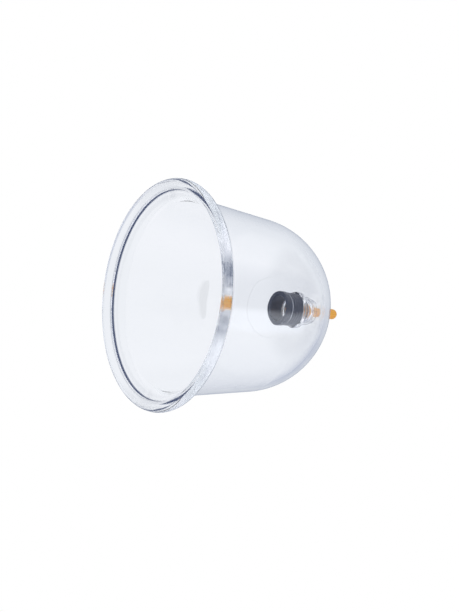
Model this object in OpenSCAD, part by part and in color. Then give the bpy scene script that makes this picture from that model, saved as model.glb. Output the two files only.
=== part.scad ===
// Vacuum cupping cup: a clear moulded bell with a rolled rim, and a pull valve in its crown.
// Millimetres. The mouth rests on z = 0, and +Z runs up the axis to the valve.
// Each turned part is one closed outline of [radius, height] points, made of arcs and corners.
// The valve is sized outwards from the port: what surrounds or fits a piece adds its own wall
// or clearance to that piece.

/* [Bell] */
// Outer diameter over the rolled rim
rim_d = 80; // [56:1:110]
// How far the rim stands out past the bell's wall, measured 10 above the mouth
overhang = 5.85; // [4:0.05:9]
// Height of the outside of the crown above the mouth
crown_h = 66.6; // [52:0.2:90]
// Draft of the wall, in degrees from the axis
draft = 6.1; // [3:0.1:9]
// Thickness of the moulded wall
wall = 1.8; // [1.2:0.05:2.6]

/* [Rim] */
// Thickness of the rolled bead
bead_d = 3.9; // [3:0.05:5]
// Depth of the narrow flat under the bead, which meets the skin
contact_flat = 0.12; // [0.05:0.01:0.3]
// Radius of the hollow outside, between the bead and the wall
flare_r = 4.3; // [3:0.1:6]

/* [Valve port and guide] */
// Bore of the port through the seat
port_d = 4.56; // [3.8:0.02:6]
// Thickness of the valve seat
seat_t = 1.4; // [1.2:0.05:2.4]
// How far the seat's upper face lies below the inside of the crown
seat_drop = 1.8; // [0.4:0.05:2.4]
// How far the valve opens
lift = 2; // [1:0.1:3]

/* [Stem] */
// Diameter of the stem that the fingers pull
stem_d = 3.8; // [3:0.05:5]
// How far the stem stands out of the nipple
stem_out = 9.3; // [5:0.1:14]
// How far the head stops inside the seal's edge
head_step = 0.5; // [0.3:0.05:0.7]
// Height of the head's straight edge
head_edge_h = 0.7; // [0.5:0.05:1.2]
// Height of the cone from the head to the stem
head_cone_h = 3.2; // [2:0.1:5]
// Number of air flutes down the guide
flutes = 4; // [3:1:5]
// Radius of each air flute
flute_r = 0.8; // [0.5:0.05:1]
// Length of the barb that holds the retainer
barb_l = 1.2; // [0.8:0.1:1.6]
// How far the barb stands out past the retainer's bore
barb_step = 0.35; // [0.2:0.05:0.5]

/* [Seal, spring and retainer] */
// Width of the seal's ring on the seat, past the port
seal_land = 0.92; // [0.8:0.02:1.4]
// Thickness of the seal
seal_t = 0.9; // [0.6:0.05:1.5]
// Bore of the seal, round the stem's neck
seal_bore_d = 3.4; // [2.8:0.05:4.1]
// Wire of the spring
wire_d = 0.4; // [0.3:0.01:0.5]
// Turns of the spring, with its closed ends
spring_turns = 4.5; // [4:0.5:7]
// Clearance between the stem's guide and the spring
coil_gap = 0.4; // [0.2:0.05:0.6]
// Clearance of the spring and the retainer in their chamber
chamber_gap = 0.2; // [0.1:0.05:0.3]
// Travel that is left in the spring when the valve is fully open
spring_spare = 0.4; // [0.2:0.05:0.8]
// Thickness of the retainer
retainer_t = 0.8; // [0.6:0.05:1.2]
// Bore of the retainer, round the stem's lower neck
retainer_bore_d = 3; // [2.4:0.05:3.7]
// Radius of the notches that let air past the retainer
notch_r = 0.7; // [0.4:0.05:0.9]

/* [Valve housing] */
// Wall of the spigot round the spring chamber
spigot_wall = 1.5; // [1:0.05:2]
// How far the spigot runs past the retainer
spigot_cover = 0.6; // [0.3:0.05:1.5]
// Depth of the boss below the inside of the crown
boss_h = 7; // [6.4:0.1:7.6]
// How far the boss's collar stands out past the sleeve
collar_step = 0.65; // [0.3:0.05:1.2]
// Length of the collar that the sleeve is pushed up against
collar_l = 1.9; // [1.2:0.1:2.2]
// Height over which the collar narrows to the boss's neck
taper_h = 2.4; // [1.6:0.1:2.6]
// Wall of the boss's neck
neck_wall = 0.9; // [0.8:0.05:1.4]
// Fillet at the root of the boss
boss_fillet = 1; // [0.4:0.05:1.2]
// Clearance round the seal inside the nipple
seal_gap = 0.4; // [0.2:0.05:0.6]
// Wall of the nipple that the pump's nozzle fits over
nipple_wall = 1.2; // [0.8:0.05:1.6]
// Height of the nipple above the crown
nipple_h = 2.8; // [2:0.1:6]
// Fillet at the root of the nipple
nipple_fillet = 0.8; // [0.4:0.05:1.2]

/* [Sleeve] */
// Wall of the rubber sleeve
sleeve_wall = 1.38; // [1:0.02:2]
// How far the sleeve runs past the end of the spigot
sleeve_reach = 5.4; // [2:0.1:6]
// Length of the thicker lip round the sleeve's mouth
lip_l = 2.4; // [1.2:0.1:3]
// How far the lip stands out past the rest of the sleeve
lip_step = 0.2; // [0.1:0.05:0.4]
// Number of hollows moulded round the sleeve above the lip
hollows = 5; // [3:1:7]
// Depth of those hollows
hollow_depth = 0.14; // [0.05:0.01:0.25]
// Radius of the rounded edges at the sleeve's mouth
mouth_round = 0.4; // [0.1:0.05:0.5]

/* [Hidden] */

gauge_z = 10;           // height at which the overhang is measured
run_gap = 0.08;         // radial clearance of the stem's guide in its port
hold_gap = 0.02;        // radial clearance between parts that hold each other
chamfer = 0.3;          // chamfers on the valve's edges
snap_r = 0.3;           // section of the bead on the spigot that the sleeve snaps over
seal_round = 0.25;      // rounding of the seal's rim
barb_edge = 0.4;        // height of the barb's straight edge
closed_turns = 1;       // turns at each end of the spring that lie on their neighbour
closed_pitch = 1.08;    // pitch of those turns, in wires
arc_step = 4;           // degrees between the points of an arc
wire_sides = 8;
rings_per_turn = 16;

// The wall is a cone and the crown is a sphere that touches it. A point lies on the wall where
// r * cos(draft) + z * sin(draft) is wall_p. Inside the wall that value is less by the thickness.
wall_p = (rim_d / 2 - overhang) * cos(draft) + gauge_z * sin(draft);
dome_z = (crown_h - wall_p) / (1 - sin(draft));
dome_c = [0, dome_z];
dome_r = crown_h - dome_z;
dome_in_r = dome_r - wall;
crown_in = crown_h - wall;

// The bead, and the hollow behind it: a circle that touches both the bead and the wall.
bead_r = bead_d / 2;
bead_c = [rim_d / 2 - bead_r, bead_r - contact_flat];
flat_angle = asin(bead_c.y / bead_r);
slope = tan(draft);
reach = (wall_p + flare_r) / cos(draft) - bead_c.x;
half_b = reach * slope + bead_c.y;
flare_z = (half_b + sqrt(half_b ^ 2
    - (1 + slope ^ 2) * (reach ^ 2 + bead_c.y ^ 2 - (bead_r + flare_r) ^ 2))) / (1 + slope ^ 2);
flare_c = [(wall_p + flare_r) / cos(draft) - flare_z * slope, flare_z];
flare_in_r = flare_r + wall;
wall_angle = 180 + draft;

// The bevel inside the mouth is a straight line that touches the bead and the flare's inside.
to_flare = flare_c - bead_c;
flare_angle = atan2(to_flare.y, to_flare.x);
bevel_angle = flare_angle + acos((bead_r - flare_in_r) / norm(to_flare));

// Radii of the valve, outwards from the port
port_r = port_d / 2;
guide_r = port_r - run_gap;
coil_in_r = guide_r + coil_gap;
coil_r = coil_in_r + wire_d / 2;
retainer_r = coil_in_r + wire_d;
chamber_r = retainer_r + chamber_gap;
spigot_r = chamber_r + spigot_wall;
sleeve_bore_r = spigot_r + hold_gap;
sleeve_r = sleeve_bore_r + sleeve_wall;
lip_r = sleeve_r + lip_step;
collar_r = sleeve_r + collar_step;
seal_r = port_r + seal_land;
head_r = seal_r - head_step;
nipple_bore_r = seal_r + seal_gap;
nipple_r = nipple_bore_r + nipple_wall;
boss_neck_r = nipple_bore_r + neck_wall;
stem_r = stem_d / 2;
neck_r = seal_bore_d / 2 - hold_gap;
low_neck_r = retainer_bore_d / 2 - hold_gap;
barb_r = retainer_bore_d / 2 + barb_step;

// Heights of the valve, with the seal resting on its seat
nipple_z = crown_h + nipple_h;
tip_z = nipple_z + stem_out;
seat_z = crown_in - seat_drop;
head_z = seat_z + seal_t;
web_z = seat_z - seat_t;
spring_l = lift + wire_d * (spring_turns + 1) + spring_spare;
spring_z = web_z - spring_l;
retainer_z = spring_z - retainer_t;
barb_z = retainer_z - barb_l;
boss_z = crown_in - boss_h;
collar_z = boss_z + collar_l;
spigot_z = retainer_z - spigot_cover;
snap_z = (spigot_z + boss_z) / 2;
sleeve_z = spigot_z - sleeve_reach;
lip_z = sleeve_z + lip_l;

// Fillets at the crown: one outside at the nipple's root, one inside at the boss's root.
nipple_fillet_r = nipple_r + nipple_fillet;
nipple_fillet_c = [nipple_fillet_r,
    dome_z + sqrt((dome_r + nipple_fillet) ^ 2 - nipple_fillet_r ^ 2)];
nipple_angle = acos(nipple_fillet_r / (dome_r + nipple_fillet));
boss_fillet_r = boss_neck_r + boss_fillet;
boss_fillet_c = [boss_fillet_r,
    dome_z + sqrt((dome_in_r - boss_fillet) ^ 2 - boss_fillet_r ^ 2)];
boss_angle = acos(boss_fillet_r / (dome_in_r - boss_fillet));

// The point at an angle on a circle, and the points along an arc between two angles
function polar(centre, radius, angle) = centre + radius * [cos(angle), sin(angle)];
function arc(centre, radius, from, to) =
    let (steps = ceil(abs(to - from) / arc_step))
    [for (i = [0 : steps]) polar(centre, radius, from + (to - from) * i / steps)];

// A solid turned about the axis from a closed outline
module turned(outline) {
    rotate_extrude($fn = 180) polygon(outline);
}

// Copies round the axis, each pushed out to a radius
module around(count, radius) {
    for (i = [0 : count - 1]) rotate(360 * i / count) translate([radius, 0, 0]) children();
}

// The clear moulding: up the outside from the mouth, down through the valve's bores, and back
// along the inside of the bell.
module cup_shell() {
    bell_outside = concat(
        arc(bead_c, bead_r, -flat_angle, 0),
        arc(bead_c, bead_r, 0, flare_angle),
        arc(flare_c, flare_r, flare_angle + 180, wall_angle),
        arc(dome_c, dome_r, draft, nipple_angle),
        arc(nipple_fillet_c, nipple_fillet, nipple_angle + 180, 180)
    );
    nipple_and_seat = [
        [nipple_r, nipple_z - chamfer],
        [nipple_r - chamfer, nipple_z],
        [nipple_bore_r + chamfer, nipple_z],
        [nipple_bore_r, nipple_z - chamfer],
        [nipple_bore_r, seat_z],
        [port_r, seat_z],
        [port_r, web_z],
        [chamber_r, web_z],
        [chamber_r, spigot_z]
    ];
    spigot_and_boss = concat(
        [[spigot_r - chamfer, spigot_z], [spigot_r, spigot_z + chamfer]],
        arc([spigot_r, snap_z], snap_r, -90, 90),
        [[spigot_r, boss_z], [collar_r - chamfer, boss_z], [collar_r, boss_z + chamfer]],
        [[collar_r, collar_z], [boss_neck_r, collar_z + taper_h]]
    );
    bell_inside = concat(
        arc(boss_fillet_c, boss_fillet, 180, boss_angle),
        arc(dome_c, dome_in_r, boss_angle, draft),
        arc(flare_c, flare_in_r, wall_angle, bevel_angle),
        arc(bead_c, bead_r, bevel_angle, 180 + flat_angle)
    );
    color("aliceblue", 0.35)
        turned(concat(bell_outside, nipple_and_seat, spigot_and_boss, bell_inside));
}

// The rubber sleeve over the spigot: a lip round its mouth, shallow hollows above that, and a
// groove inside for the snap bead.
module valve_sleeve() {
    pitch = (boss_z - lip_z) / hollows;
    chord = pitch * 0.7;
    hollow_r = (chord ^ 2 / 4 + hollow_depth ^ 2) / (2 * hollow_depth);
    half_angle = asin(chord / 2 / hollow_r);
    groove_r = snap_r + hold_gap;
    groove_angle = acos(hold_gap / groove_r);
    hollow_points = [
        for (i = [0 : hollows - 1], side = [-1 : 0.5 : 1])
            polar(
                [sleeve_r - hollow_depth + hollow_r, lip_z + pitch * (i + 0.5)],
                hollow_r,
                180 - side * half_angle
            )
    ];
    color("dimgray")
        turned(concat(
            arc([sleeve_bore_r + mouth_round, sleeve_z + mouth_round], mouth_round, 180, 270),
            arc([lip_r - mouth_round, sleeve_z + mouth_round], mouth_round, -90, 0),
            [[lip_r, lip_z - lip_step], [sleeve_r, lip_z]],
            hollow_points,
            [[sleeve_r, boss_z], [sleeve_bore_r, boss_z]],
            arc([spigot_r, snap_z], groove_r, groove_angle, -groove_angle)
        ));
}

// The stem: a round tip to pull, a cone down to the head, the seal's neck, a fluted guide that
// slides in the port, and a barb that holds the retainer.
module valve_stem() {
    color("orange")
    difference() {
        turned(concat(
            [[0, barb_z], [low_neck_r, barb_z], [barb_r, retainer_z - barb_edge], [barb_r, retainer_z]],
            [[low_neck_r, retainer_z], [low_neck_r, spring_z]],
            [[guide_r, spring_z], [guide_r, seat_z], [neck_r, seat_z], [neck_r, head_z]],
            [[head_r, head_z], [head_r, head_z + head_edge_h]],
            [[stem_r, head_z + head_edge_h + head_cone_h]],
            arc([0, tip_z - stem_r], stem_r, 0, 90)
        ));
        around(flutes, guide_r + flute_r / 4)
            translate([0, 0, spring_z]) cylinder(h = seat_z - spring_z, r = flute_r, $fn = 48);
    }
}

// The soft washer between the head and the seat
module valve_seal() {
    rim_r = seal_r - seal_round;
    color("whitesmoke")
        turned(concat(
            [[seal_bore_d / 2, head_z], [seal_bore_d / 2, seat_z]],
            arc([rim_r, seat_z + seal_round], seal_round, -90, 0),
            arc([rim_r, head_z - seal_round], seal_round, 0, 90)
        ));
}

// The spring, swept along a helix. Its end turns lie almost against their neighbours.
module return_spring() {
    low = spring_z + wire_d / 2;
    rise = closed_turns * closed_pitch * wire_d;
    open_turns = spring_turns - 2 * closed_turns;
    open_pitch = (spring_l - wire_d - 2 * rise) / open_turns;
    function height(turn) =
        low + closed_pitch * wire_d * (min(turn, closed_turns)
            + max(turn - closed_turns - open_turns, 0))
            + open_pitch * min(max(turn - closed_turns, 0), open_turns);
    last = spring_turns * rings_per_turn;
    points = [
        for (i = [0 : last], side = [0 : wire_sides - 1])
            let (
                turn = i / rings_per_turn,
                section = polar([coil_r, height(turn)], wire_d / 2, 360 * side / wire_sides)
            )
            [section.x * cos(360 * turn), section.x * sin(360 * turn), section.y]
    ];
    skin = [
        for (i = [0 : last - 1], side = [0 : wire_sides - 1])
            let (next = (side + 1) % wire_sides, row = i * wire_sides)
            [row + side, row + next, row + wire_sides + next, row + wire_sides + side]
    ];
    first_cap = [for (side = [wire_sides - 1 : -1 : 0]) side];
    last_cap = [for (side = [0 : wire_sides - 1]) last * wire_sides + side];
    color("silver") polyhedron(points, concat(skin, [first_cap, last_cap]));
}

// The notched washer that carries the spring on the stem
module spring_retainer() {
    color("ivory")
    difference() {
        turned([
            [retainer_bore_d / 2, retainer_z],
            [retainer_r, retainer_z],
            [retainer_r, spring_z],
            [retainer_bore_d / 2, spring_z]
        ]);
        around(flutes, retainer_r)
            translate([0, 0, retainer_z]) cylinder(h = retainer_t, r = notch_r, $fn = 48);
    }
}

cup_shell();
valve_sleeve();
valve_stem();
valve_seal();
return_spring();
spring_retainer();
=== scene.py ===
# %% [markdown]
# # A vacuum cupping cup
#
# The object is a clear plastic bell with a thick rolled rim. A small valve sits in its crown: a
# dark rubber sleeve hangs inside, and an amber stem stands out on top, for the fingers to pull.
# The CAD model already gives every piece its place, and this lesson gives the pieces their looks.
# It starts by loading that model as a fixed frame, in metres, with the cup standing mouth down
# on z = 0 and its axis along Z. Light runs round inside the thick clear rim by total reflection.
# With Blender's usual 12 bounces much of it is lost and the right side of the rim turns dark, so
# more are allowed.

# %% The frame
from math import acos, asin, atan2, ceil, cos, degrees, pi, radians, sin, sqrt, tan

import bmesh
import bpy
from mathutils import Matrix, Vector


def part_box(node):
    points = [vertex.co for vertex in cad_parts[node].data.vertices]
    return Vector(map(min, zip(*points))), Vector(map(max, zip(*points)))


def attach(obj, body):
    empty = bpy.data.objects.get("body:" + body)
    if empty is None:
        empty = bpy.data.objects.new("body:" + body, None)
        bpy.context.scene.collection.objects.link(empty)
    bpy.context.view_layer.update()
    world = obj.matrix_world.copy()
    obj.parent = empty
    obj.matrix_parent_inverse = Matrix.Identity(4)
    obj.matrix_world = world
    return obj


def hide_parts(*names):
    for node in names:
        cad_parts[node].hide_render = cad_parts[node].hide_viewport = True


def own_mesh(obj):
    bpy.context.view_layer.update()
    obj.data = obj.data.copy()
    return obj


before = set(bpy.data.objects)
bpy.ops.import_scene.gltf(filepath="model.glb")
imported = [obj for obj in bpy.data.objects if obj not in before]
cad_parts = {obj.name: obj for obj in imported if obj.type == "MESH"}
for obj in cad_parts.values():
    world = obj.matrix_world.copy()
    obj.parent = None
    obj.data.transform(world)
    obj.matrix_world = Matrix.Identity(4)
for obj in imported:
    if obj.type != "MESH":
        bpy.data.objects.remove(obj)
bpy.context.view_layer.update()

scene = bpy.context.scene
scene.view_settings.view_transform = "Standard"
rim_bounces = 96
scene.cycles.max_bounces = rim_bounces
scene.cycles.transmission_bounces = rim_bounces
scene.cycles.glossy_bounces = rim_bounces
MM = 0.001

# %% [markdown]
# ## Camera
#
# In the photograph the cup lies on its side with its mouth towards us. The frame keeps the cup
# upright, so it's the camera that goes round the cup instead. Two angles and one point, all in
# the camera's own axes, say how the cup lies in the picture: which way its crown points, and
# where the middle of its mouth is. They were found by fitting the outline of rim, wall and crown
# to the photograph, once for each of five lenses, and this is the middle one of the five. The
# matrix below turns them into the camera's place.

# %% Place the camera
crown_tilt = radians(54.908)
crown_roll = radians(6.409)
mouth_centre = Vector((-0.02402, 0.003945, -0.4073))
focal_px = 1200
picture_px = 612
sensor_mm = 36
crown_way = Vector((
    sin(crown_tilt) * cos(crown_roll),
    -sin(crown_tilt) * sin(crown_roll),
    -cos(crown_tilt),
))

to_camera = -mouth_centre
front = (to_camera - to_camera.dot(crown_way) * crown_way).normalized()
turn = Matrix(((-front).cross(crown_way), -front, crown_way))

camera_data = bpy.data.cameras.new("camera")
camera_data.sensor_width = sensor_mm
camera_data.lens = focal_px / picture_px * sensor_mm
camera = bpy.data.objects.new("camera", camera_data)
scene.collection.objects.link(camera)
camera.matrix_world = Matrix.Translation(turn @ to_camera) @ turn.to_4x4()
scene.camera = camera
print(f"camera {to_camera.length:.3f} m from the mouth's middle")

# %% [markdown]
# ## Shader maths as Python
#
# Finishes are made of nodes, and nodes are wordy to write. A small class wraps an output socket,
# so that `1 - mask * 0.3` adds its Math nodes by itself. Another wraps a node tree. Its method
# `node` adds any other node: settings first, then the values or links of the sockets. The rest of
# its methods are short names for the nodes that are used most.

# %% Wire and Tree
class Wire:
    """The output of a node. Maths on it adds Math nodes to its tree."""

    def __init__(self, tree, socket):
        self.tree = tree
        self.socket = socket

    def maths(self, operation, *others):
        """A Math node that takes this output first."""
        node = self.tree.nodes.new("ShaderNodeMath")
        node.operation = operation
        for socket, value in zip(node.inputs, (self, *others)):
            if isinstance(value, Wire):
                self.tree.links.new(value.socket, socket)
            else:
                socket.default_value = value
        return Wire(self.tree, node.outputs[0])

    def __add__(self, other):
        return self.maths("ADD", other)

    def __sub__(self, other):
        return self.maths("SUBTRACT", other)

    def __rsub__(self, other):
        return self.maths("MULTIPLY_ADD", -1, other)

    def __mul__(self, other):
        return self.maths("MULTIPLY", other)

    def __pow__(self, other):
        return self.maths("POWER", other)

    def __gt__(self, other):
        return self.maths("GREATER_THAN", other)

    def __or__(self, other):
        return self.maths("MAXIMUM", other)

    __radd__ = __add__
    __rmul__ = __mul__


class Tree:
    """A node tree: a material's or the world's."""

    def __init__(self, owner):
        owner.use_nodes = True
        self.tree = owner.node_tree
        self.tree.nodes.clear()

    def node(self, kind, settings=None, **values):
        """Adds a node. Its sockets go by their names, with _ for each space."""
        node = self.tree.nodes.new(kind)
        for name, value in (settings or {}).items():
            setattr(node, name, value)
        for name, value in values.items():
            usable = [socket for socket in node.inputs if socket.enabled]
            socket = next(
                s for s in usable if name in (s.identifier, s.name.replace(" ", "_"))
            )
            if isinstance(value, Wire):
                self.tree.links.new(value.socket, socket)
            else:
                socket.default_value = value
        return {
            socket.name: Wire(self.tree, socket)
            for socket in reversed(node.outputs) if socket.enabled
        }

    def place(self):
        """Where a point is on the object, in millimetres."""
        coordinates = self.node("ShaderNodeTexCoord")["Object"]
        scaled = {"operation": "SCALE"}
        return self.node("ShaderNodeVectorMath", scaled, Vector=coordinates, Scale=1000)["Vector"]

    def radius_and_height(self):
        """How far a point is from the cup's axis, and how high, in millimetres."""
        at = self.node("ShaderNodeSeparateXYZ", {}, Vector=self.place())
        return (at["X"] ** 2 + at["Y"] ** 2) ** 0.5, at["Z"]

    def noise(self, scale, detail=3, roughness=0.5, stretch=None):
        """Noise from 0 to 1, with that many waves in a millimetre."""
        point = self.place()
        if stretch:
            point = self.node("ShaderNodeMapping", {}, Vector=point, Scale=stretch)["Vector"]
        return self.node(
            "ShaderNodeTexNoise", {}, Vector=point, Scale=scale, Detail=detail, Roughness=roughness
        )["Fac"]

    def mix(self, factor, first, second):
        """Goes from one colour to another."""
        return self.node(
            "ShaderNodeMix", {"data_type": "RGBA"}, Factor=factor, A=first, B=second
        )["Result"]

    def step(self, value, low, high):
        """A smooth step from 0 at low to 1 at high."""
        return self.node(
            "ShaderNodeMapRange", {"interpolation_type": "SMOOTHSTEP"},
            Value=value, From_Min=low, From_Max=high,
        )["Result"]

    def bump(self, height, distance, strength=1.0):
        """Bends the normal as if the surface rose by that distance."""
        return self.node(
            "ShaderNodeBump", {}, Height=height, Distance=distance, Strength=strength
        )["Normal"]

    def shader(self, **values):
        """A Principled shader."""
        return self.node("ShaderNodeBsdfPrincipled", {}, **values)["BSDF"]

    def either(self, factor, first, second):
        """The first shader where the factor is 0, the second where it is 1."""
        return self.node(
            "ShaderNodeMixShader", {}, Fac=factor, Shader=first, Shader_001=second
        )["Shader"]

    def toward(self, direction):
        """How far the world's directions turn towards one: 1 there, -1 behind."""
        return self.node(
            "ShaderNodeVectorMath", {"operation": "DOT_PRODUCT"},
            Vector=self.node("ShaderNodeTexCoord")["Generated"],
            Vector_001=Vector(direction).normalized(),
        )["Value"]

    def glow(self, colour, strength=1.0):
        """Light from a direction of the world."""
        return self.node(
            "ShaderNodeBackground", {}, Color=colour, Strength=strength
        )["Background"]

    def finish(self, surface, volume=None, kind="ShaderNodeOutputMaterial"):
        """Links the shaders to the output."""
        values = {"Surface": surface}
        if volume:
            values["Volume"] = volume
        self.node(kind, {}, **values)


def new_finish(name):
    """A new material and its tree."""
    material = bpy.data.materials.new(name)
    return material, Tree(material)


# %% [markdown]
# ## Clear plastic
#
# The bell is moulded in polycarbonate: clear, glossy, and faintly blue where one looks along it.
# Its body is a refracting shader, and the blue comes from absorption inside the wall. The mould
# leaves faint waves, and use leaves a little haze and fine scuffs, so the roughness varies and a
# weak bump bends the reflections. Nothing in it scatters or swallows much light: a ray may turn
# back from the surfaces of the rim dozens of times, and a loss of some percent at each of those
# turns would make the rim grey. To the rays that look for shadows it's simply transparent with a
# slight tint. Otherwise it would shade what it covers as if it were opaque.

# %% Clear plastic
clear_plastic, tree = new_finish("clear_plastic")
haze = tree.step(tree.noise(0.35, detail=4), 0.45, 0.75)
waves = tree.noise(0.09, detail=1)
scuffs = tree.step(tree.noise(1.1, detail=2, stretch=(1, 1, 4)), 0.62, 0.8)
plastic = tree.shader(
    Base_Color=(0.99, 0.995, 1.0, 1),
    Roughness=0.012 + haze * 0.02 + scuffs * 0.03,
    IOR=1.585,
    Transmission_Weight=1.0,
    Normal=tree.bump(waves, 0.0002, 0.5),
)
tint = tree.node("ShaderNodeVolumeAbsorption", {}, Color=(0.1, 0.35, 0.55, 1), Density=0.8)
shade = tree.node("ShaderNodeBsdfTransparent", {}, Color=(0.9, 0.91, 0.93, 1))["BSDF"]
casting = tree.node("ShaderNodeLightPath")["Is Shadow Ray"]
tree.finish(tree.either(casting, plastic, shade), tint["Volume"])
print("clear_plastic:", len(clear_plastic.node_tree.nodes), "nodes")

# %% [markdown]
# ## Rubber, amber plastic and the small parts
#
# The sleeve is dark grey rubber with a satin skin. Moulded rubber has a fine mottle and a little
# bloom. A pale line is painted into the colour in the step behind the lip: a painted highlight
# where the lip's back edge would catch the light. Its height alone would draw that line in the
# bore as well, so the radius keeps it to the outside. The stem is amber plastic, dyed all through
# and slightly milky. The seal is milky silicone, the spring drawn steel and the retainer a dull
# ivory plastic.

# %% Rubber
dark_rubber, tree = new_finish("dark_rubber")
mottle = tree.noise(2.2, detail=5, roughness=0.6)
bloom = tree.step(tree.noise(0.5, detail=3), 0.5, 0.8)
lip_l = 2.4
line_core = 0.12
line_edge = 0.34
outside_from = 5.2
outside_full = 5.6
lip_top = 1000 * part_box("valve_sleeve")[0][2] + lip_l
radius, height = tree.radius_and_height()
# Painted highlight: a pale band in the colour just behind the lip, on the outside only, stands in
# for the light caught by the lip's back edge.
behind_lip = 1 - tree.step((height - lip_top).maths("ABSOLUTE"), line_core, line_edge)
painted_highlight = behind_lip * tree.step(radius, outside_from, outside_full)
skin = tree.mix(bloom * 0.5, (0.012, 0.016, 0.03, 1), (0.04, 0.047, 0.07, 1))
tree.finish(tree.shader(
    # The pale colour mixed in here is the painted highlight behind the lip.
    Base_Color=tree.mix(painted_highlight * (0.6 + mottle * 0.4), skin, (0.5, 0.52, 0.58, 1)),
    Roughness=0.3 + mottle * 0.12 + bloom * 0.08,
    IOR=1.52,
    Normal=tree.bump(mottle, 0.00003, 0.6),
))

# %% Amber plastic
amber_plastic, tree = new_finish("amber_plastic")
flow = tree.noise(0.6, detail=3, stretch=(1, 1, 0.25))
grip = tree.noise(4, detail=4)
tree.finish(tree.shader(
    Base_Color=tree.mix(flow, (0.80, 0.40, 0.06, 1), (0.68, 0.31, 0.045, 1)),
    Roughness=0.28 + grip * 0.14,
    IOR=1.49,
    Subsurface_Weight=0.35,
    Subsurface_Radius=(1.0, 0.45, 0.12),
    Subsurface_Scale=0.001,
    Normal=tree.bump(grip, 0.00002, 0.5),
))

# %% Silicone, steel and ivory plastic
clear_silicone, tree = new_finish("clear_silicone")
milk = tree.noise(1.4, detail=3)
tree.finish(tree.shader(
    Base_Color=tree.mix(milk, (0.82, 0.85, 0.88, 1), (0.72, 0.75, 0.78, 1)),
    Roughness=0.35 + milk * 0.15,
    IOR=1.41,
    Transmission_Weight=0.45,
    Normal=tree.bump(milk, 0.00002, 0.4),
))

spring_steel, tree = new_finish("spring_steel")
drawing = tree.noise(9, detail=4, stretch=(1, 1, 6))
tree.finish(tree.shader(
    Base_Color=tree.mix(drawing, (0.66, 0.65, 0.63, 1), (0.5, 0.49, 0.48, 1)),
    Metallic=1.0,
    Roughness=0.2 + drawing * 0.2,
    Normal=tree.bump(drawing, 0.00001, 0.5),
))

ivory_plastic, tree = new_finish("ivory_plastic")
grain = tree.noise(3, detail=5, roughness=0.6)
tree.finish(tree.shader(
    Base_Color=tree.mix(grain, (0.80, 0.75, 0.62, 1), (0.72, 0.66, 0.53, 1)),
    Roughness=0.42 + grain * 0.15,
    Normal=tree.bump(grain, 0.00002, 0.5),
))

# %% [markdown]
# ## Outlines
#
# Nearly every piece of the cup is round, so each one is an outline turned about the axis. An
# outline is a list of (radius, height) points in millimetres. Moulded corners are never sharp,
# and a corner that is rounded catches the light, so one helper rounds the corners of an outline
# and another splits long straight runs. That keeps the shading even next to a curve.

# %% Outline helpers
def polar(centre, radius, angle):
    """The point at an angle, in degrees, on a circle."""
    return (centre[0] + radius * cos(radians(angle)), centre[1] + radius * sin(radians(angle)))


def arc(centre, radius, start, end, step=3.0):
    """Points along a circle between two angles."""
    count = max(2, ceil(abs(end - start) / step))
    return [polar(centre, radius, start + (end - start) * i / count) for i in range(count + 1)]


def rounded(corners, step=15.0):
    """Rounds the corners (radius, height, rounding) of a closed outline."""
    points = []
    for i, (x, z, rounding) in enumerate(corners):
        here = Vector((x, z))
        if not rounding:
            points.append((x, z))
            continue
        back = (Vector(corners[i - 1][:2]) - here).normalized()
        on = (Vector(corners[(i + 1) % len(corners)][:2]) - here).normalized()
        half = acos(max(-1, min(1, back.dot(on)))) / 2
        centre = here + (back + on).normalized() * rounding / sin(half)
        start = here + back * rounding / tan(half) - centre
        end = here + on * rounding / tan(half) - centre
        first = degrees(atan2(start.y, start.x))
        sweep = (degrees(atan2(end.y, end.x)) - first + 180) % 360 - 180
        points += arc(centre, rounding, first, first + sweep, step)
    return points


def split_runs(outline, longest):
    """Splits the straight runs of a closed outline that are longer than that."""
    points = []
    for here, there in zip(outline, outline[1:] + outline[:1]):
        points.append(here)
        length = (Vector(there) - Vector(here)).length
        count = ceil(length / longest)
        if here[0] > 0 or there[0] > 0:
            points += [
                tuple(Vector(here).lerp(Vector(there), i / count)) for i in range(1, count)
            ]
    return points


# %% [markdown]
# Turning an outline is a few lines of mesh code: one ring of points for each point of the outline,
# with a face between each pair of neighbours. It gives clean four-sided faces that follow the
# form. A modifier weighs the normals by area, so that flat faces shade flat up to their rounded
# edges. A `shape` function may change the radius round the axis, for notches and flutes.

# %% Turned pieces
def dress(piece, material, body, node):
    """Gives a piece its finish and its body, and hides the CAD node it stands for."""
    piece.data.materials.append(material)
    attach(piece, body)
    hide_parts(node)
    low, high = (Vector(corner) for corner in (piece.bound_box[0], piece.bound_box[6]))
    size = " x ".join(f"{1000 * side:.2f}" for side in high - low)
    print(f"{piece.name}: {len(piece.data.polygons)} faces, {size} mm")


def turned(name, outline, segments=192, shape=None, sharp=40):
    """Turns a closed outline about the axis."""
    mesh = bmesh.new()
    rings = []
    for radius, height in outline:
        if radius < 0.001:
            rings.append([mesh.verts.new((0, 0, height * MM))] * segments)
            continue
        ring = []
        for i in range(segments):
            angle = 2 * pi * i / segments
            r = shape(radius, height, angle) if shape else radius
            ring.append(mesh.verts.new((r * cos(angle) * MM, r * sin(angle) * MM, height * MM)))
        rings.append(ring)
    for low, high in zip(rings, rings[1:] + rings[:1]):
        for i in range(segments):
            j = (i + 1) % segments
            corners = list(dict.fromkeys([low[i], low[j], high[j], high[i]]))
            if len(corners) > 2:
                mesh.faces.new(corners)
    bmesh.ops.recalc_face_normals(mesh, faces=mesh.faces)
    data = bpy.data.meshes.new(name)
    mesh.to_mesh(data)
    mesh.free()
    data.shade_smooth()
    data.set_sharp_from_angle(angle=radians(sharp))
    piece = bpy.data.objects.new(name, data)
    scene.collection.objects.link(piece)
    weigh = piece.modifiers.new("weigh_normals", "WEIGHTED_NORMAL")
    weigh.keep_sharp = True
    return piece


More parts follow.
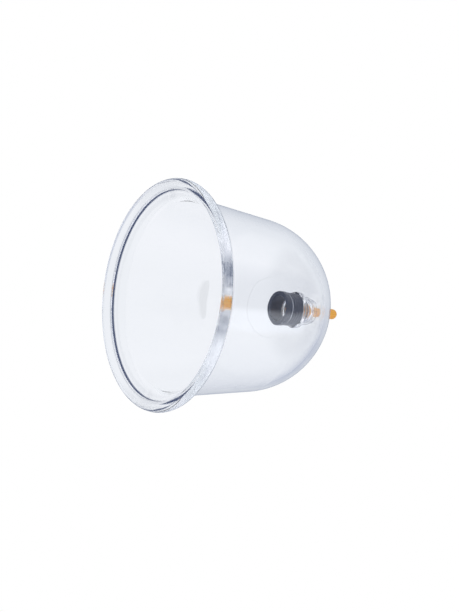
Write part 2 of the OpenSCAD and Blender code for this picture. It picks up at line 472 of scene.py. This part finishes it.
# %% [markdown]
# ## Bell
#
# The bell, its rim and the valve's housing are one moulding. The wall leans in by its draft, and
# the crown is a sphere that touches the wall. The rim is a round bead. Outside, a hollow runs
# from the bead to the wall. Inside, a straight bevel leads from the bead into the wall. The same
# values as in the CAD model give the circles and the angles at which they touch.

# %% Sizes of the bell, in millimetres
rim_r = 1000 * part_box("cup_shell")[1][0]
nipple_z = 1000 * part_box("cup_shell")[1][2]
overhang = 5.85
gauge_z = 10
crown_h = 66.6
draft = 6.1
wall = 1.8
bead_r = 1.95
contact_flat = 0.12
flare_r = 4.3

wall_p = (rim_r - overhang) * cos(radians(draft)) + gauge_z * sin(radians(draft))
dome_z = (crown_h - wall_p) / (1 - sin(radians(draft)))
dome_c = (0, dome_z)
dome_r = crown_h - dome_z
dome_in_r = dome_r - wall

bead_c = (rim_r - bead_r, bead_r - contact_flat)
flat_angle = degrees(asin(bead_c[1] / bead_r))
slope = tan(radians(draft))
reach = (wall_p + flare_r) / cos(radians(draft)) - bead_c[0]
half_b = reach * slope + bead_c[1]
square_c = reach ** 2 + bead_c[1] ** 2 - (bead_r + flare_r) ** 2
flare_z = (half_b + sqrt(half_b ** 2 - (1 + slope ** 2) * square_c)) / (1 + slope ** 2)
flare_c = ((wall_p + flare_r) / cos(radians(draft)) - flare_z * slope, flare_z)
flare_in_r = flare_r + wall
to_flare = Vector(flare_c) - Vector(bead_c)
flare_angle = degrees(atan2(to_flare.y, to_flare.x))
bevel_angle = flare_angle + degrees(acos((bead_r - flare_in_r) / to_flare.length))
print(f"bell: dome radius {dome_r:.2f}, flare at {flare_c[0]:.2f}, {flare_c[1]:.2f}")

# %% Sizes of the valve, in millimetres
port_r = 2.28
guide_r = 2.2
chamber_r = 3.2
spigot_r = 4.7
sleeve_bore_r = 4.72
lip_r = 1000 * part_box("valve_sleeve")[1][0]
lip_step = 0.2
sleeve_r = lip_r - lip_step
collar_step = 0.65
collar_r = sleeve_r + collar_step
nipple_bore_r = 3.6
nipple_r = 4.8
boss_neck_r = 4.5
seal_r = 1000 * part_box("valve_seal")[1][0]
seat_z = 1000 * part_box("valve_seal")[0][2]
head_z = 1000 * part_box("valve_seal")[1][2]
spring_z = 1000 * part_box("return_spring")[0][2]
web_z = 1000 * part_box("return_spring")[1][2]
retainer_z = 1000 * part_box("spring_retainer")[0][2]
sleeve_z = 1000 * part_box("valve_sleeve")[0][2]
boss_z = 1000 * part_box("valve_sleeve")[1][2]
collar_l = 1.9
collar_z = boss_z + collar_l
taper_h = 2.4
taper_z = collar_z + taper_h
tip_z = 1000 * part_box("valve_stem")[1][2]
barb_z = 1000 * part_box("valve_stem")[0][2]
spigot_cover = 0.6
spigot_z = retainer_z - spigot_cover
snap_z = (spigot_z + boss_z) / 2
snap_r = 0.3
print(f"valve: seat at {seat_z:.2f}, tip at {tip_z:.2f}, sleeve from {sleeve_z:.2f}")

# %% The bell
nipple_fillet = 0.8
boss_fillet = 1.0
nipple_fillet_r = nipple_r + nipple_fillet
nipple_angle = degrees(acos(nipple_fillet_r / (dome_r + nipple_fillet)))
nipple_fillet_c = (
    nipple_fillet_r, dome_z + sqrt((dome_r + nipple_fillet) ** 2 - nipple_fillet_r ** 2)
)
boss_fillet_r = boss_neck_r + boss_fillet
boss_angle = degrees(acos(boss_fillet_r / (dome_in_r - boss_fillet)))
boss_fillet_c = (
    boss_fillet_r, dome_z + sqrt((dome_in_r - boss_fillet) ** 2 - boss_fillet_r ** 2)
)

bell_outside = (
    arc(bead_c, bead_r, -flat_angle, 0)
    + arc(bead_c, bead_r, 0, flare_angle)[1:]
    + arc(flare_c, flare_r, flare_angle + 180, 180 + draft)[1:]
    + arc(dome_c, dome_r, draft, nipple_angle, 1.2)
    + arc(nipple_fillet_c, nipple_fillet, nipple_angle + 180, 180, 9)[1:]
)
bores = rounded([
    (nipple_r, nipple_z - 1, 0),
    (nipple_r, nipple_z, 0.3),
    (nipple_bore_r, nipple_z, 0.3),
    (nipple_bore_r, seat_z, 0.12),
    (port_r, seat_z, 0.06),
    (port_r, web_z, 0.1),
    (chamber_r, web_z, 0.1),
    (chamber_r, spigot_z, 0.15),
    (spigot_r, spigot_z, 0.3),
    (spigot_r, spigot_z + 0.5, 0),
])
boss = rounded([
    (spigot_r, snap_z + 0.6, 0),
    (spigot_r, boss_z, 0),
    (collar_r, boss_z, 0.3),
    (collar_r, collar_z, 0.4),
    (boss_neck_r, taper_z, 0.5),
    (boss_neck_r, boss_fillet_c[1] - 0.2, 0),
])
bell_inside = (
    arc(boss_fillet_c, boss_fillet, 180, boss_angle, 9)
    + arc(dome_c, dome_in_r, boss_angle, draft, 1.2)[1:]
    + arc(flare_c, flare_in_r, 180 + draft, bevel_angle)
    + arc(bead_c, bead_r, bevel_angle, 180 + flat_angle)
)
snap = arc((spigot_r, snap_z), snap_r, -90, 90, 15)
bell = turned(
    "bell",
    split_runs(bell_outside + bores + snap + boss + bell_inside, 2.5),
    segments=256,
)
dress(bell, clear_plastic, "cup", "cup_shell")

# %% [markdown]
# ## Sleeve
#
# The rubber sleeve is pushed over the spigot below the crown and hangs open towards the mouth. It
# has a soft round edge, and shallow hollows run round it. They are moulded in, so they are in the
# outline and not in the bump. A groove inside takes the snap bead of the spigot.

# %% The sleeve
hollow_depth = 0.14
mouth_round = 0.4
lip_slope = 0.2
groove_play = 0.02
hollow_count = 5
pitch = (boss_z - sleeve_z - lip_l) / hollow_count
groove_r = snap_r + groove_play
groove_angle = degrees(acos(groove_play / groove_r))

hollows = []
for i in range(hollow_count):
    low = sleeve_z + lip_l + pitch * i
    for share in (0.0, 0.08, 0.2, 0.35, 0.5, 0.65, 0.8, 0.92):
        depth = hollow_depth * sin(pi * share) ** 2
        hollows.append((sleeve_r - depth, low + pitch * share))
sleeve_outline = (
    arc((sleeve_bore_r + mouth_round, sleeve_z + mouth_round), mouth_round, 180, 270, 10)
    + arc((lip_r - mouth_round, sleeve_z + mouth_round), mouth_round, -90, 0, 10)
    + rounded([
        (lip_r, sleeve_z + 1, 0),
        (lip_r, sleeve_z + lip_l - lip_slope, 0.15),
        (sleeve_r, sleeve_z + lip_l, 0.1),
        hollows[1] + (0,),
    ])[:-1]
    + hollows[1:]
    + [(sleeve_r, boss_z), (sleeve_bore_r, boss_z)]
    + arc((spigot_r, snap_z), groove_r, groove_angle, -groove_angle, 10)
)
sleeve = turned("sleeve", split_runs(sleeve_outline, 0.8))
dress(sleeve, dark_rubber, "cup", "valve_sleeve")

# %% [markdown]
# ## Stem
#
# The stem is one amber moulding. From the top it has the round tip that the fingers pull, a cone
# down to the head, a neck for the seal, a guide that slides in the port, and a barb for the
# retainer. Four flutes along the guide let the air past. A flute is where a round cutter beside
# the axis would bite, so the radius is the guide's or the cutter's, whichever is less.

# %% The stem
stem_r = 1.9
head_r = 2.7
neck_r = 1.68
low_neck_r = 1.48
barb_r = 1.85
flute_r = 0.8
flute_at = guide_r + flute_r / 4
head_h = 0.7
cone_top = 3.9
barb_h = 0.4
straight_end = 2.6


def fluted(radius, height, angle):
    """The guide's radius, with four flutes cut into it."""
    if not spring_z - 0.01 < height < seat_z + 0.01 or radius < neck_r + 0.05:
        return radius
    aside = (angle + pi / 4) % (pi / 2) - pi / 4
    across = flute_at * sin(aside)
    if abs(across) >= flute_r:
        return radius
    return min(radius, flute_at * cos(aside) - sqrt(flute_r ** 2 - across ** 2))


stem_outline = rounded([
    (0, barb_z, 0),
    (low_neck_r, barb_z, 0.1),
    (barb_r, retainer_z - barb_h, 0.1),
    (barb_r, retainer_z, 0.05),
    (low_neck_r, retainer_z, 0),
    (low_neck_r, spring_z, 0),
    (guide_r, spring_z, 0.1),
    (guide_r, seat_z, 0.1),
    (neck_r, seat_z, 0),
    (neck_r, head_z, 0),
    (head_r, head_z, 0.08),
    (head_r, head_z + head_h, 0.15),
    (stem_r, head_z + cone_top, 0.6),
    (stem_r, tip_z - straight_end, 0),
])
stem_outline += arc((0, tip_z - stem_r), stem_r, 0, 90, 5)[:-1] + [(0, tip_z)]
stem = turned("stem", split_runs(stem_outline, 0.6), shape=fluted)
dress(stem, amber_plastic, "stem", "valve_stem")

# %% [markdown]
# ## Seal, retainer and spring
#
# The seal is a soft washer with a rounded rim. The retainer is a washer with four notches for the
# air, which the same kind of shape function cuts. The spring can't be turned: its wire is swept
# along a helix whose end turns lie almost against their neighbours, as on a real spring. When
# the stem is pulled the spring is pressed against its upper end.

# %% The seal and the retainer
seal_bore_r = 1.7
seal = turned("seal", split_runs(rounded([
    (seal_bore_r, seat_z, 0.1),
    (seal_r, seat_z, 0.25),
    (seal_r, head_z, 0.25),
    (seal_bore_r, head_z, 0.1),
]), 0.5))
dress(seal, clear_silicone, "stem", "valve_seal")

retainer_r = 3.0
retainer_bore_r = 1.5
notch_r = 0.7
notched_from = 2


def notched(radius, height, angle):
    """The retainer's radius, with four notches in its rim."""
    aside = (angle + pi / 4) % (pi / 2) - pi / 4
    across = retainer_r * sin(aside)
    if abs(across) >= notch_r or radius < notched_from:
        return radius
    return min(radius, retainer_r * cos(aside) - sqrt(notch_r ** 2 - across ** 2))


retainer = turned("retainer", rounded([
    (retainer_bore_r, retainer_z, 0.08),
    (retainer_r, retainer_z, 0.1),
    (retainer_r, spring_z, 0.1),
    (retainer_bore_r, spring_z, 0.08),
]), shape=notched)
dress(retainer, ivory_plastic, "stem", "spring_retainer")

# %% The spring
wire_r = 0.2
coil_r = 2.8
turns = 4.5
closed_turns = 1.0
closed_spacing = 1.08
wire_sides = 12
rings_per_turn = 36


def wire_height(turn_now):
    """Height of the wire's middle after that many turns."""
    closed_pitch = closed_spacing * 2 * wire_r
    open_turns = turns - 2 * closed_turns
    open_pitch = (web_z - spring_z - 2 * wire_r - 2 * closed_turns * closed_pitch) / open_turns
    opened = min(max(turn_now - closed_turns, 0), open_turns)
    return spring_z + wire_r + (turn_now - opened) * closed_pitch + opened * open_pitch


mesh = bmesh.new()
rings = []
for i in range(int(turns * rings_per_turn) + 1):
    turn_now = i / rings_per_turn
    ring = []
    for side in range(wire_sides):
        r, z = polar((coil_r, wire_height(turn_now)), wire_r, 360 * side / wire_sides)
        angle = 2 * pi * turn_now
        ring.append(mesh.verts.new((r * cos(angle) * MM, r * sin(angle) * MM, z * MM)))
    rings.append(ring)
for low, high in zip(rings, rings[1:]):
    for i in range(wire_sides):
        j = (i + 1) % wire_sides
        mesh.faces.new((low[i], low[j], high[j], high[i]))
mesh.faces.new(rings[0][::-1])
mesh.faces.new(rings[-1])
bmesh.ops.recalc_face_normals(mesh, faces=mesh.faces)
data = bpy.data.meshes.new("spring")
mesh.to_mesh(data)
mesh.free()
data.shade_smooth()
data.set_sharp_from_angle(angle=radians(50))
spring = bpy.data.objects.new("spring", data)
scene.collection.objects.link(spring)
dress(spring, spring_steel, "cup", "return_spring")
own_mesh(spring)

# %% [markdown]
# ## Floor
#
# The floor is a plain pale sheet under the cup. The photograph's camera looks up from below it,
# so the sheet is one-sided: it's there for whoever looks from above, and a ray that came through
# it from below doesn't meet it again.

# %% The floor
pale_floor, tree = new_finish("pale_floor")
geometry = tree.node("ShaderNodeNewGeometry")
path = tree.node("ShaderNodeLightPath")
from_below = geometry["Backfacing"] | (path["Transparent Depth"] > 0.5)
fleck = tree.noise(0.02, detail=3)
paper = tree.shader(
    Base_Color=tree.mix(fleck, (0.93, 0.93, 0.93, 1), (0.91, 0.91, 0.915, 1)), Roughness=0.9
)
clear = tree.node("ShaderNodeBsdfTransparent")["BSDF"]
tree.finish(tree.either(from_below, paper, clear))

half = 3
corners = [(-half, -half, 0), (half, -half, 0), (half, half, 0), (-half, half, 0)]
floor_data = bpy.data.meshes.new("floor")
floor_data.from_pydata(corners, [], [(0, 1, 2, 3)])
floor = bpy.data.objects.new("floor", floor_data)
floor_data.materials.append(pale_floor)
scene.collection.objects.link(floor)

# %% [markdown]
# ## Light
#
# The background is white and matt surfaces get plain even light. Clear plastic is another
# matter, as it shows nothing but what stands around it. So the rays that were bent or mirrored
# see a studio. It has dark cards and bright panels, each of them a zone round one direction: its
# colour is full within the inner angle and gone beyond the outer one. The directions are in the
# camera's axes, with x to the right, y up and z towards us. This studio is light and no part of
# the cup, so a cup that is taken out of this scene doesn't bring it along.

# %% The zones
world = bpy.data.worlds.new("studio")
scene.world = world
tree = Tree(world)


def surroundings(colour, *zones):
    """Paints zones (direction, inner and outer angle, colour) over a colour."""
    for way, inner, outer, paint in zones:
        share = tree.step(
            tree.toward(turn @ Vector(way)), cos(radians(outer)), cos(radians(inner))
        )
        colour = tree.mix(share, colour, paint)
    return colour


# %% [markdown]
# The photograph shows its studio only through the plastic, so this one is a guess that fits. A
# fit of broad patches of light to the photograph led to the first five zones. The others were
# added and all were changed from render to render. What each zone does:
#
# - The dark gap on the right, which the bell's near wall mirrors, keeps the sleeve's face dark.
# - The softbox below it makes the bright patch beside the sleeve, and lightens the lower half of
#   the sleeve.
# - The black card on the left gives the dark line inside the left rim.
# - The panels above and below light the right side of the rim, and the mouth a little.
# - The panel on the right adds a little light to the middle of the mouth.
# - The lower card behind on the right shades the bottom of the bell and the lower crown, and the
#   upper one shades the rest of the crown very slightly.
# - The card straight behind is what the bell mirrors at its very edges. It draws the outline.

# %% The studio
dark_gap = ((1, 0.05, 0.1), 8, 32, (0.3, 0.33, 0.44, 1))
softbox = ((0.95, -0.34, 0.07), 4, 13, (1.38, 1.46, 1.65, 1))
right_panel = ((1, 0, 0.2), 20, 60, (1.15, 1.15, 1.2, 1))
upper_panel = ((0, 1, 0.2), 20, 60, (1.2, 1.2, 1.26, 1))
lower_panel = ((0, -1, 0.2), 20, 60, (1.25, 1.22, 1.28, 1))
upper_card = ((1, 0.8, -1.2), 15, 40, (0.82, 0.85, 0.9, 1))
lower_card = ((1, -1, -1), 10, 42, (0.54, 0.58, 0.69, 1))
black_card = ((-1, 0, 0), 42, 64, (0.0, 0.02, 0.1, 1))
card_behind = ((0, 0, -1), 35, 80, (0.3, 0.34, 0.44, 1))

refracted = surroundings(
    (0.86, 0.88, 0.92, 1), right_panel, upper_panel, lower_panel, upper_card, lower_card,
    black_card, dark_gap, softbox,
)
mirrored = surroundings((0.8, 0.83, 0.9, 1), card_behind, dark_gap, softbox)

# %% [markdown]
# A ray that was bent last is a transmission ray, and one that was mirrored last is a glossy one.
# Everything else gets even light, and the camera itself sees white.

# %% Who sees what
path = tree.node("ShaderNodeLightPath")
studio = tree.mix(path["Is Transmission Ray"], mirrored, refracted)
through_plastic = path["Is Transmission Ray"] | path["Is Glossy Ray"]
lit = tree.either(through_plastic, tree.glow((1, 1, 1, 1), 0.97), tree.glow(studio))
tree.finish(
    tree.either(path["Is Camera Ray"], lit, tree.glow((1, 1, 1, 1))),
    kind="ShaderNodeOutputWorld",
)
print("studio:", len(world.node_tree.nodes), "nodes")
